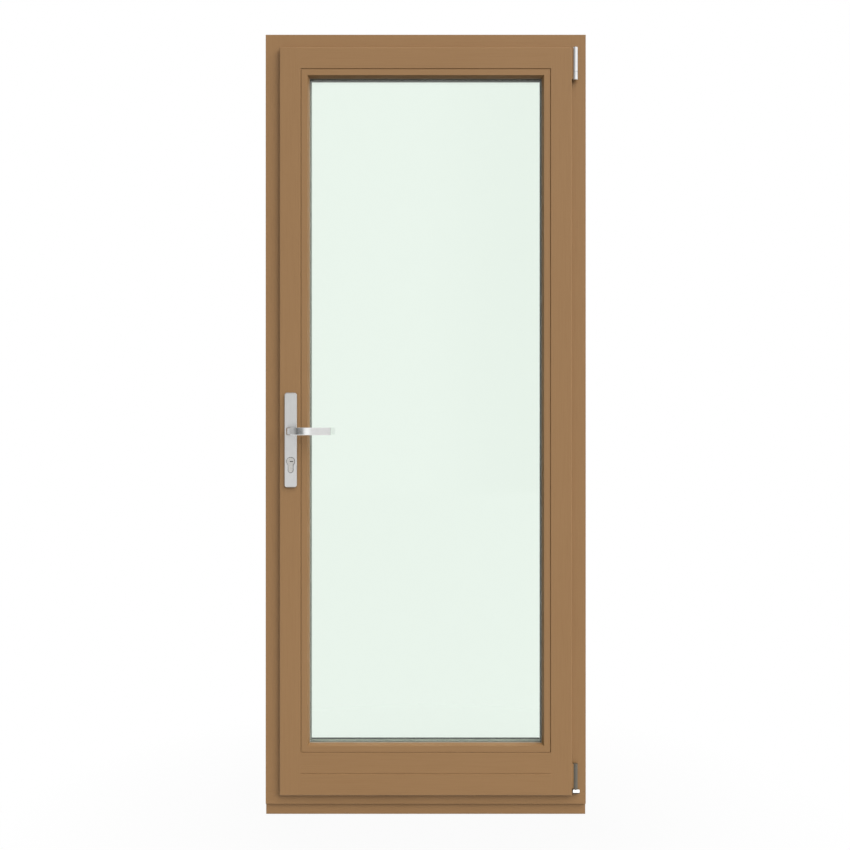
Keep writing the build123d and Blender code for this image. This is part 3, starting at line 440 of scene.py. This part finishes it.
def cylinderOutline(grow, y):  # round barrel above, narrow web and round foot below
    barrel, web = bush["radius"] + grow, bush["web"] + grow
    turn = math.acos(web / barrel)
    angles = [-turn + (math.pi + 2 * turn) * i / bush["arcSteps"] for i in range(bush["arcSteps"] + 1)]
    points = [(plugX + barrel * math.cos(a), y, plugZ + barrel * math.sin(a)) for a in angles]
    footZ = plugZ - bush["footDrop"]
    angles = [math.pi * (1 + i / bush["footSteps"]) for i in range(bush["footSteps"] + 1)]
    return points + [(plugX + web * math.cos(a), y, footZ + web * math.sin(a)) for a in angles]


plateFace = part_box("cylinder_body")[0][1] + bush["proud"]
inner, outer = bush["gap"]
section = ((inner, plateFace + bush["depth"]), (inner, plateFace - bush["rise"]),
           (bush["lip"] - bush["rise"], plateFace - bush["rise"]), (bush["lip"], plateFace),
           (outer, plateFace), (outer, plateFace + bush["depth"]))
bushMesh = loopMesh("cylinderShadeBush", [cylinderOutline(grow, y) for grow, y in section])
keepPiece("cylinderShadeBush", bushMesh, capPlastic, "leaf", "block_plastic")

# keyway: two nickel wards from its sides, and behind them the pins, painted dark as the shade deep in the slot
keyway = {"left": -1.78 * mm, "right": 6.98 * mm, "half": 1.38 * mm, "wardTip": 0.5 * mm,
          "lowWard": (1.2 * mm, 2.2 * mm), "highWard": (3.4 * mm, 4.6 * mm), "wardStart": 1.0 * mm,
          "pinStart": 1.8 * mm, "end": 9 * mm, "rounding": 0.08 * mm}


def keywayBar(left, right, base, tip, start):  # a bar in the keyway, placed from the plug's middle and front
    corners = ((left, base), (right, base), (right, tip), (left, tip))
    return [(plugX + x, plugZ + z) for x, z in corners], plugFront + start, plugFront + keyway["end"]


wards = [keywayBar(*span, side * keyway["half"], side * keyway["wardTip"], keyway["wardStart"])
         for span, side in ((keyway["lowWard"], -1), (keyway["highWard"], 1))]
wardMesh = prismMesh("keyWards", wards, "Y", keyway["rounding"])
keepPiece("keyWards", wardMesh, cylinderNickel, "plug", "nickel_cylinder")
pins = keywayBar(keyway["left"], keyway["right"], -keyway["half"], keyway["half"], keyway["pinStart"])
pinMesh = prismMesh("keyPins", [pins], "Y", keyway["rounding"])
keepPiece("keyPins", pinMesh, keywayShadeBrass, "plug", "nickel_cylinder")
print("hinge and cylinder trims made")


def startTree(name, numbers):  # a Geometry Nodes tree with named number inputs and a finish
    tree = bpy.data.node_groups.new(name, "GeometryNodeTree")
    tree.interface.new_socket("Geometry", in_out="INPUT", socket_type="NodeSocketGeometry")
    for number in numbers:
        tree.interface.new_socket(number, in_out="INPUT", socket_type="NodeSocketFloat")
    tree.interface.new_socket("Finish", in_out="INPUT", socket_type="NodeSocketMaterial")
    tree.interface.new_socket("Geometry", in_out="OUTPUT", socket_type="NodeSocketGeometry")
    return tree, addNode(tree, "NodeGroupInput").outputs


def endTree(tree, given, instances):
    real = addNode(tree, "GeometryNodeRealizeInstances", {0: instances})
    painted = addNode(tree, "GeometryNodeSetMaterial", {
        "Geometry": real.outputs[0], "Material": given["Finish"]})
    addNode(tree, "NodeGroupOutput", {0: painted.outputs[0]})


def growPiece(name, spots, edges, tree, values, body):  # spots are (place, facing, size)
    start = bpy.data.meshes.new(name)
    start.from_pydata([spot[0] for spot in spots], edges, [])
    facing = start.attributes.new("facing", "FLOAT_VECTOR", "POINT")
    facing.data.foreach_set("vector", [part for spot in spots for part in spot[1]])
    size = start.attributes.new("size", "FLOAT", "POINT")
    size.data.foreach_set("value", [spot[2] for spot in spots])
    maker = bpy.data.objects.new(name, start)
    bpy.context.scene.collection.objects.link(maker)
    modifier = maker.modifiers.new("grow", "NODES")
    modifier.node_group = tree
    for socket in tree.interface.items_tree:
        if socket.name in values:
            modifier[socket.identifier] = values[socket.name]
    mesh = bpy.data.meshes.new_from_object(maker.evaluated_get(bpy.context.evaluated_depsgraph_get()))
    maker.modifiers.remove(modifier)
    maker.data = mesh
    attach(maker, body)
    print(name, "made,", len(mesh.polygons), "faces")


# raised countersunk screws with a cross recess, turned each its own way
screws = {"Head radius": 3.4 * mm, "Head rise": 0.9 * mm, "Top share": 0.6, "Recess length": 3.6 * mm,
          "Recess width": 0.9 * mm, "Recess depth": 0.6 * mm, "Seed": 4.0}


def screwTree():
    tree, given = startTree("crossRecessScrews", screws)
    top = addNode(tree, "ShaderNodeMath", {0: given["Head radius"], 1: given["Top share"]},
                  operation="MULTIPLY")
    shape = addNode(tree, "GeometryNodeMeshCone", {
        "Vertices": 24, "Radius Top": top.outputs[0], "Radius Bottom": given["Head radius"],
        "Depth": given["Head rise"]}).outputs["Mesh"]
    # a bar of the cross is twice as deep as the recess, because half of it is above the head
    deep = addNode(tree, "ShaderNodeMath", {0: given["Recess depth"], 1: 2.0}, operation="MULTIPLY")
    lift = addNode(tree, "ShaderNodeCombineXYZ", {"Z": given["Head rise"]})
    for long, wide in (("X", "Y"), ("Y", "X")):
        size = addNode(tree, "ShaderNodeCombineXYZ", {
            long: given["Recess length"], wide: given["Recess width"], "Z": deep.outputs[0]})
        bar = addNode(tree, "GeometryNodeMeshCube", {"Size": size.outputs[0]})
        raised = addNode(tree, "GeometryNodeTransform", {
            "Geometry": bar.outputs[0], "Translation": lift.outputs[0]})
        shape = addNode(tree, "GeometryNodeMeshBoolean", {0: shape, 1: raised.outputs[0]},
                        operation="DIFFERENCE").outputs[0]
    facing = addNode(tree, "GeometryNodeInputNamedAttribute", {"Name": "facing"}, data_type="FLOAT_VECTOR")
    size = addNode(tree, "GeometryNodeInputNamedAttribute", {"Name": "size"}, data_type="FLOAT")
    turn = addNode(tree, "FunctionNodeRandomValue", {2: 0.0, 3: math.pi, "Seed": given["Seed"]},
                   data_type="FLOAT")
    spin = addNode(tree, "FunctionNodeAxisAngleToRotation", {"Axis": (0, 0, 1), "Angle": turn.outputs[1]})
    aimed = addNode(tree, "FunctionNodeAlignRotationToVector", {"Vector": facing.outputs[0]}, axis="Z")
    both = addNode(tree, "FunctionNodeRotateRotation", {0: aimed.outputs[0], 1: spin.outputs[0]},
                   rotation_space="LOCAL")
    placed = addNode(tree, "GeometryNodeInstanceOnPoints", {
        "Points": given["Geometry"], "Instance": shape, "Rotation": both.outputs[0],
        "Scale": size.outputs[0]})
    endTree(tree, given, placed.outputs[0])
    return tree


# rows of screws: X, Y and heights in millimetres, which way along X the heads face, and their share of full size
screwRows = {
    "faceplate": {"x": -390, "y": -21, "facing": -1, "size": 1.0,
                  "heights": [150, 420, 640, 960, 1200, 1480, 1740, 2065]},
    "hingeStraps": {"x": 392.5, "y": -15, "facing": 1, "size": 1.0,
                    "heights": [100, 127, 155, 2010, 2037, 2064]},
    "keepers": {"x": -399.5, "y": -21, "facing": 1, "size": 1.0,
                "heights": [cam + step for cam in (260, 800, 1340, 1880) for step in (-12.5, 26.5)]},
    "lockJamb": {"x": -403.5, "y": -8, "facing": 1, "size": 0.9, "heights": [205, 795, 1385, 1975]},
    "hingeJamb": {"x": 403.5, "y": -8, "facing": -1, "size": 0.9, "heights": [205, 795, 1385, 1975]},
}


def screwSpots(*names):
    return [((row["x"] * mm, row["y"] * mm, z * mm), (row["facing"], 0, 0), row["size"])
            for row in (screwRows[name] for name in names) for z in row["heights"]]


leafSpots = screwSpots("faceplate", "hingeStraps")
frameSpots = screwSpots("keepers", "lockJamb", "hingeJamb")
screwValues = {**screws, "Finish": gearZinc}
crossScrews = screwTree()
growPiece("leafScrews", leafSpots, [], crossScrews, screwValues, "leaf")
growPiece("frameScrews", frameSpots, [], crossScrews, screwValues, "frame")

# two rows of breather holes along the inner faces of the spacer, as thin dark discs of painted shade in place of
# open holes
breathers = {"Pitch": 11 * mm, "Hole radius": 0.45 * mm, "Hole depth": 0.06 * mm}
breatherRows = {"inset": 12.5 * mm, "cornerGap": 14 * mm, "fromMiddle": 3.5 * mm}  # inset from the outer edge
breatherPaintedShade = linedMaterial({"name": "breatherHolePaintedShade", "dark": "#2F302C", "light": "#3A3B36",
                              "metallic": 0.0, "roughness": (0.6, 0.75), "lineWidth": 0.3 * mm,
                              "lineLength": 0.4 * mm, "cloudSize": 5 * mm, "relief": 0.1, "along": "Z"})


def breatherTree():
    tree, given = startTree("spacerBreathers", breathers)
    runs = addNode(tree, "GeometryNodeMeshToCurve", {"Mesh": given["Geometry"]})
    spots = addNode(tree, "GeometryNodeResampleCurve", {
        "Curve": runs.outputs[0], "Length": given["Pitch"]}, mode="LENGTH")
    disc = addNode(tree, "GeometryNodeMeshCylinder", {
        "Vertices": 8, "Radius": given["Hole radius"], "Depth": given["Hole depth"]})
    facing = addNode(tree, "GeometryNodeInputNamedAttribute", {"Name": "facing"}, data_type="FLOAT_VECTOR")
    aimed = addNode(tree, "FunctionNodeAlignRotationToVector", {"Vector": facing.outputs[0]}, axis="Z")
    placed = addNode(tree, "GeometryNodeInstanceOnPoints", {
        "Points": spots.outputs[0], "Instance": disc.outputs["Mesh"], "Rotation": aimed.outputs[0]})
    endTree(tree, given, placed.outputs[0])
    return tree


low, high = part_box("spacer_bar")
inset, corner, fromMiddle = breatherRows["inset"], breatherRows["cornerGap"], breatherRows["fromMiddle"]
inX, inLow, inHigh = high[0] - inset, low[2] + inset, high[2] - inset
rowMiddle = (low[1] + high[1]) / 2
breatherSpots = []
for y in (rowMiddle - fromMiddle, rowMiddle + fromMiddle):
    for z, up in ((inLow, 1), (inHigh, -1)):
        breatherSpots += [((x, y, z), (0, 0, up), 1.0) for x in (corner - inX, inX - corner)]
    for side in (-1, 1):
        breatherSpots += [((side * inX, y, z), (-side, 0, 0), 1.0) for z in (inLow + corner, inHigh - corner)]
breatherRuns = [(first, first + 1) for first in range(0, len(breatherSpots), 2)]
breatherValues = {**breathers, "Finish": breatherPaintedShade}
growPiece("spacerBreathers", breatherSpots, breatherRuns, breatherTree(), breatherValues, "leaf")

# studio: white ground and world, one broad sun from the front right and a weaker fill from behind
studio = {
    "ambient": 0.37,
    "suns": {  # strength, where from
        "broadSun": (3.05, (0.75, -1.0, 1.0)),
        "rearFill": (1.6, (-0.35, 1.0, 1.0)),
    },
    "sunSpread": 65,
    "floorSize": 30.0,
    "floorColour": "#8A8A88",
    "floorRoughness": 0.8,
    "floorWhite": 0.95,
    "floorFade": (0.4, 1.2),
    "floorMirror": 0.6,  # so the panes mirror floor and wall alike
    "mirrorPeak": 1.8,
    "mirrorRamp": ((-1.0, 0.78), (-0.85, 0.74), (-0.7, 0.58), (-0.5, 0.33), (-0.3, 0.15), (-0.2, 0.15),
                   (-0.13, 1.3), (-0.09, 1.8), (0.0, 1.8), (0.055, 1.35), (0.12, 1.15), (0.3, 1.0),
                   (0.45, 1.35), (1.0, 1.35)),
    "behind": 0.95,
    "rearFade": (-0.05, 0.2),
}


def seenDirectly(tree):  # what is seen plainly or through glass, and what is mirrored, before any matt bounce
    rays = addNode(tree, "ShaderNodeLightPath").outputs
    first = addNode(tree, "ShaderNodeMath", {0: rays["Diffuse Depth"], 1: 0.5}, operation="LESS_THAN")
    clear = addNode(tree, "ShaderNodeMath", {0: rays["Is Camera Ray"], 1: rays["Is Transmission Ray"]},
                    operation="MAXIMUM")
    return [addNode(tree, "ShaderNodeMath", {0: share, 1: first.outputs[0]}, operation="MULTIPLY").outputs[0]
            for share in (clear.outputs[0], rays["Is Glossy Ray"])]


def buildWorld():
    world = bpy.data.worlds.new("whiteStudio")
    bpy.context.scene.world = world
    world.use_nodes = True
    tree = world.node_tree
    tree.nodes.clear()
    seen, glossy = seenDirectly(tree)
    way = addNode(tree, "ShaderNodeTexCoord")
    parts = addNode(tree, "ShaderNodeSeparateXYZ", {0: way.outputs["Generated"]})
    side = addNode(tree, "ShaderNodeMapRange", {
        "Value": parts.outputs["X"], "From Min": -1.0, "From Max": 1.0})
    boxes = addNode(tree, "ShaderNodeValToRGB", {0: side.outputs[0]})  # metal mirrors soft boxes and a dark gap
    ramp = boxes.color_ramp
    ramp.elements.remove(ramp.elements[1])
    for place, level in studio["mirrorRamp"]:
        stop = ramp.elements[0] if place == -1.0 else ramp.elements.new((place + 1) / 2)
        share = level / studio["mirrorPeak"]
        stop.color = (share, share, share, 1)
    near, far = studio["rearFade"]
    rear = addNode(tree, "ShaderNodeMapRange", {"Value": parts.outputs["Y"], "From Min": near, "From Max": far})
    back = studio["behind"] / studio["mirrorPeak"]
    around = addNode(tree, "ShaderNodeMix", {
        0: rear.outputs[0], 6: boxes.outputs[0], 7: (back, back, back, 1)}, data_type="RGBA")
    plain = addNode(tree, "ShaderNodeBackground", {"Color": (1, 1, 1, 1), "Strength": studio["ambient"]})
    white = addNode(tree, "ShaderNodeBackground", {"Color": (1, 1, 1, 1), "Strength": 1.0})
    mirrored = addNode(tree, "ShaderNodeBackground", {
        "Color": around.outputs[2], "Strength": studio["mirrorPeak"]})
    first = addNode(tree, "ShaderNodeMixShader", {0: glossy, 1: plain.outputs[0], 2: mirrored.outputs[0]})
    second = addNode(tree, "ShaderNodeMixShader", {0: seen, 1: first.outputs[0], 2: white.outputs[0]})
    addNode(tree, "ShaderNodeOutputWorld", {"Surface": second.outputs[0]})


def buildFloor():
    half = studio["floorSize"] / 2
    mesh = bpy.data.meshes.new("studioFloor")
    corners = [(-half, -half, 0), (half, -half, 0), (half, half, 0), (-half, half, 0)]
    mesh.from_pydata(corners, [], [(0, 1, 2, 3)])
    floor = bpy.data.objects.new("studioFloor", mesh)
    bpy.context.scene.collection.objects.link(floor)
    material, tree, shader, place = startMaterial("paleStudioFloor")
    shader.inputs["Base Color"].default_value = hexToLinear(studio["floorColour"])
    shader.inputs["Roughness"].default_value = studio["floorRoughness"]
    seen, glossy = seenDirectly(tree)
    mirrored = addNode(tree, "ShaderNodeMath", {0: seen, 1: glossy}, operation="MAXIMUM")
    reach = addNode(tree, "ShaderNodeVectorMath", {0: place}, operation="LENGTH")
    near, far = studio["floorFade"]  # the shadow stays near the door, and the ground fades to plain white
    whiter = addNode(tree, "ShaderNodeMapRange", {
        "Value": reach.outputs["Value"], "From Min": near, "From Max": far, "To Min": studio["floorWhite"],
        "To Max": 1.0})
    share = addNode(tree, "ShaderNodeMath", {0: mirrored.outputs[0], 1: whiter.outputs[0]},
                    operation="MULTIPLY")
    reflected = addNode(tree, "ShaderNodeMath", {0: glossy, 1: seen}, operation="SUBTRACT", use_clamp=True)
    level = addNode(tree, "ShaderNodeMath", {0: reflected.outputs[0], 1: studio["floorMirror"], 2: 1.0},
                    operation="MULTIPLY_ADD")
    white = addNode(tree, "ShaderNodeEmission", {"Color": (1, 1, 1, 1), "Strength": level.outputs[0]})
    mixed = addNode(tree, "ShaderNodeMixShader", {
        0: share.outputs[0], 1: shader.outputs[0], 2: white.outputs[0]})
    setSurface(tree, mixed.outputs[0])
    mesh.materials.append(material)


def buildSuns():
    for name, (strength, way) in studio["suns"].items():
        lamp = bpy.data.lights.new(name, "SUN")
        lamp.energy = strength
        lamp.angle = math.radians(studio["sunSpread"])
        sun = bpy.data.objects.new(name, lamp)
        sun.rotation_mode = "QUATERNION"
        sun.rotation_quaternion = (-Vector(way)).to_track_quat("-Z", "Y")
        sun.visible_glossy = False  # metal mirrors the soft boxes alone
        sun.visible_transmission = way[1] < 0  # the fill isn't seen through the glass
        bpy.context.scene.collection.objects.link(sun)


buildWorld()
buildFloor()
buildSuns()
print("studio lit")

# camera about level with the handle, square on to the door
camera = {"place": (-0.002, -3.134, 1.0976), "tilt": 90, "lens": 46.69, "sensor": 36.0, "reach": 50}
eyeData = bpy.data.cameras.new("photoCamera")
eyeData.lens = camera["lens"]
eyeData.sensor_width = camera["sensor"]
eyeData.clip_end = camera["reach"]
eye = bpy.data.objects.new("photoCamera", eyeData)
eye.location = camera["place"]
eye.rotation_euler = (math.radians(camera["tilt"]), 0, 0)
bpy.context.scene.collection.objects.link(eye)
bpy.context.scene.camera = eye
bpy.context.scene.view_settings.view_transform = "Standard"
